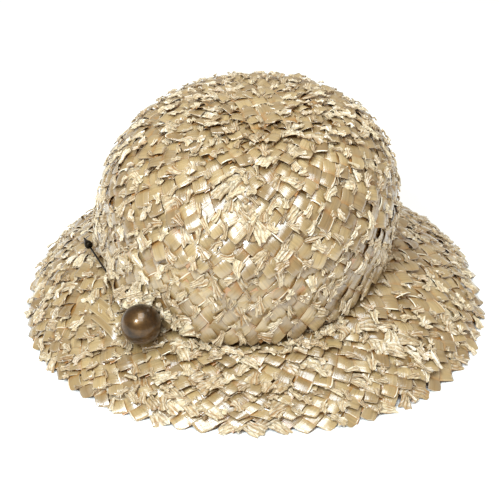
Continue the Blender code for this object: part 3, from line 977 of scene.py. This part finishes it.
def backing_straw(name, low, high, shade):
    """The plait's back: the same ribbon seen from inside, duller, in squares with fibres that take
    turns, and dark seams between them. The map counts strips, so its whole numbers are the seams."""
    material, tree, shader = blank(name)
    uv = add(tree, "UVMap", uv_map="fibre")["UV"]
    parts = add(tree, "SeparateXYZ", {0: uv})
    wholes, fracts = (
        [add(tree, "Math", {0: parts[axis]}, operation=kind)[0] for axis in (0, 1)]
        for kind in ("FLOOR", "FRACT"))
    total = add(tree, "Math", {0: wholes[0], 1: wholes[1]}, operation="ADD")[0]
    halved = add(tree, "Math", {0: total, 1: 0.5}, operation="MULTIPLY")[0]
    turn = add(tree, "Math", {0: halved}, operation="FRACT")[0]
    over = add(tree, "Math", {0: turn, 1: 0.25}, operation="GREATER_THAN")[0]
    across = add(tree, "Mix", {0: over, 2: parts[1], 3: parts[0]})[0]
    lines = add(tree, "Math", {0: across, 1: BACK_STREAKS}, operation="MULTIPLY")[0]
    cell = add(tree, "CombineXYZ", {0: wholes[0], 1: wholes[1], 2: over})[0]
    tone = add(tree, "TexWhiteNoise", {"Vector": cell}, noise_dimensions="3D")["Value"]
    fibre_at = add(tree, "CombineXYZ", {0: lines, 1: tone})[0]
    streak = add(tree, "TexNoise", {"Vector": fibre_at, "Scale": 1.0, "Detail": 2.0})["Fac"]
    near = [add(tree, "Math", {0: part, 1: 0.5}, operation="SUBTRACT")[0] for part in fracts]
    near = [add(tree, "Math", {0: part}, operation="ABSOLUTE")[0] for part in near]
    rim = add(tree, "Math", {0: near[0], 1: near[1]}, operation="MAXIMUM")[0]
    inputs = {"Value": rim, "From Min": 0.44, "From Max": 0.5, "To Max": 0.8}
    seam = add(tree, "MapRange", inputs)[0]
    colour = painted(tree, linear(low), ((tone, high),))
    colour = grained(tree, colour, ((streak, 0.84, 1.12),))
    colour = painted(tree, colour, ((seam, shade),))
    bump = add(tree, "Bump", {"Height": streak, "Distance": 0.00015, "Strength": 0.6})[0]
    plug(tree, shader, {"Base Color": colour, "Normal": bump, "Roughness": 0.45, "IOR": 1.52})
    return material


def aged_brass(name, patina, rubbed):
    """Spun hollow brass, lacquer worn off: a brown patina with warmer, smoother rubbed places and
    a thin wax that gives one sharp highlight."""
    material, tree, shader = blank(name)
    place = add(tree, "TexCoord")["Object"]
    inputs = {"Vector": place, "Scale": BRASS_CLOUDS, "Detail": 5.0, "Roughness": 0.6}
    cloud = add(tree, "TexNoise", inputs)["Fac"]
    speck = add(tree, "TexNoise", {"Vector": place, "Scale": BRASS_SPECKS, "Detail": 4.0})["Fac"]
    worn = add(tree, "MapRange", {"Value": cloud, "From Min": 0.35, "From Max": 0.68})[0]
    colour = painted(tree, linear(patina), ((worn, rubbed),))
    colour = grained(tree, colour, ((speck, 0.8, 1.15),))
    inputs = {**PATTERN_RANGE, "Value": cloud, "To Min": 0.44, "To Max": 0.34}
    rough = add(tree, "MapRange", inputs)[0]
    bump = add(tree, "Bump", {"Height": speck, "Distance": 0.00005, "Strength": 0.3})[0]
    plug(tree, shader, {
        "Base Color": colour, "Roughness": rough, "Normal": bump, "Metallic": 1.0,
        "Coat Weight": 0.6, "Coat Roughness": 0.12,
    })
    return material


def dark_metal(name, low, high, roughness):
    """Drawn or turned metal gone nearly black, with fine brighter wear."""
    material, tree, shader = blank(name)
    place = add(tree, "TexCoord")["Object"]
    wear = add(tree, "TexNoise", {"Vector": place, "Scale": WIRE_MARKS, "Detail": 4.0})["Fac"]
    colour = painted(tree, linear(low), ((wear, high),))
    bump = add(tree, "Bump", {"Height": wear, "Distance": 0.00003, "Strength": 0.3})[0]
    plug(tree, shader, {"Base Color": colour, "Normal": bump, "Metallic": 1.0, "Roughness": roughness})
    return material


def aim(piece, target):
    """Turn a camera or light to look at a point."""
    heading = Vector(target) - piece.location
    piece.rotation_euler = heading.to_track_quat("-Z", "Y").to_euler()


def make_camera():
    """The photograph's camera, looking at the hat's middle."""
    data = bpy.data.cameras.new("camera")
    data.lens = CAMERA_LENS
    data.sensor_width = CAMERA_SENSOR
    camera = put("camera", data)
    direction = np.array((0.0, -math.cos(CAMERA_ELEVATION), math.sin(CAMERA_ELEVATION)))
    camera.location = direction * CAMERA_DISTANCE
    aim(camera, CAMERA_TARGET)
    bpy.context.scene.camera = camera


def make_light(name, azimuth, elevation, distance, size, power):
    """A soft square light that looks at the hat."""
    data = bpy.data.lights.new(name, "AREA")
    data.size = size
    data.energy = power
    data.color = COOL
    light = put(name, data)
    azimuth = math.radians(azimuth)
    elevation = math.radians(elevation)
    level = math.cos(elevation) * distance
    height = math.sin(elevation) * distance
    light.location = (math.sin(azimuth) * level, -math.cos(azimuth) * level, height)
    aim(light, LIGHT_TARGET)


def make_studio():
    """A pale floor, a warm surround and soft lights."""
    points = FLOOR_EDGE * np.array(((-1, -1, 0), (1, -1, 0), (1, 1, 0), (-1, 1, 0)))
    floor = grid_mesh("floor", points, np.array(((0, 1, 2, 3),)), points[:, :2], {}, False)
    material, tree, shader = blank("pale floor")
    plug(tree, shader, {"Base Color": linear(FLOOR_COLOUR), "Roughness": 0.9})
    floor.data.materials.append(material)
    world = bpy.data.worlds.new("studio")
    world.use_nodes = True
    surround = {"Color": linear(SURROUND), "Strength": SURROUND_STRENGTH}
    plug(world.node_tree, world.node_tree.nodes["Background"], surround)
    bpy.context.scene.world = world
    for light in LIGHTS:
        make_light(*light)
    bpy.context.scene.view_settings.view_transform = "Standard"


def settle(piece, material, nodes):
    """Give a piece its finish, the body it rides on and the solids it stands for."""
    piece.data.materials.append(material)
    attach(piece, "root")
    if nodes:
        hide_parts(*nodes)


def make_straw():
    """The plaits of the crown, brim and under row, and the backings inside them."""
    # The satin and crushed straws' last colours are painted warm shade, and the crushed straw's third is a
    # painted highlight on its ridges.
    satin = satin_straw("satin viscose straw", "#866A40", "#B29767", "#E5DABF", "#A87233")
    crushed = crushed_straw("crushed viscose straw", "#A7895C", "#DDCAA4", "#ECDEC4", "#9C6A30")
    back = backing_straw("plait back straw", "#AE8446", "#C6A066", "#886030")
    # Node, rows, seed of the draws, share of crushed squares, share of corners with fans
    for node, rows, seed, worn_share, fan_share in (
            ("crown", crown_rows(), 11, 0.13, 0.84),
            ("brim", brim_rows(), 12, 0.14, 0.8),
            ("under_row", under_rows(), 13, 0.35, 0.4)):
        strips, crumples, loose = plait(node, rows, seed, worn_share, fan_share)
        settle(strips, satin, (node,))
        settle(crumples, crushed, ())
        settle(loose, crushed, ())
    crown_back = backing("crown_backing", on_crown, crown_rows(), 0.0, CROWN_ARC, 76, CROWN_BACK)
    settle(crown_back, back, ())
    brim_foot = BRIM_BACK_FOOT * BRIM_REACH
    brim_back = backing("brim_backing", on_brim, brim_rows(), BRIM_BACK_TOP, brim_foot, 30, BRIM_BACK)
    settle(brim_back, back, ())


def make_hatpin():
    """The ball, the wire and the guard on its point."""
    bend = np.linspace(-pi / 2, pi / 2, 49)
    ball_profile = np.stack((BALL_RADIUS * np.cos(bend), BALL_RADIUS * np.sin(bend)), -1)
    ball = turned("hatpin_head", ball_profile, 96)
    wire_profile = (
        (0, SHAFT_START), (SHAFT_RADIUS, SHAFT_START), (SHAFT_RADIUS, SHAFT_END), (0, SHAFT_END))
    wire = turned("hatpin_wire", wire_profile, 24)
    guard_profile = [(0, GUARD_START)]
    for wide, along in GUARD_ROWS:
        guard_profile.append((GUARD_RADIUS * wide, GUARD_START + GUARD_LENGTH * along))
    guard = turned("hatpin_point_guard", guard_profile, 48)
    brass = aged_brass("aged spun brass", "#3A2D20", "#6E512F")
    steel = dark_metal("darkened steel wire", "#1E1B18", "#4A443C", 0.35)
    black = dark_metal("blackened brass", "#15120E", "#3A3226", 0.4)
    settle(ball, brass, ("hatpin_ball",))
    settle(wire, steel, ("hatpin_shaft",))
    settle(guard, black, ("hatpin_guard",))


make_camera()
make_straw()
make_hatpin()
make_studio()
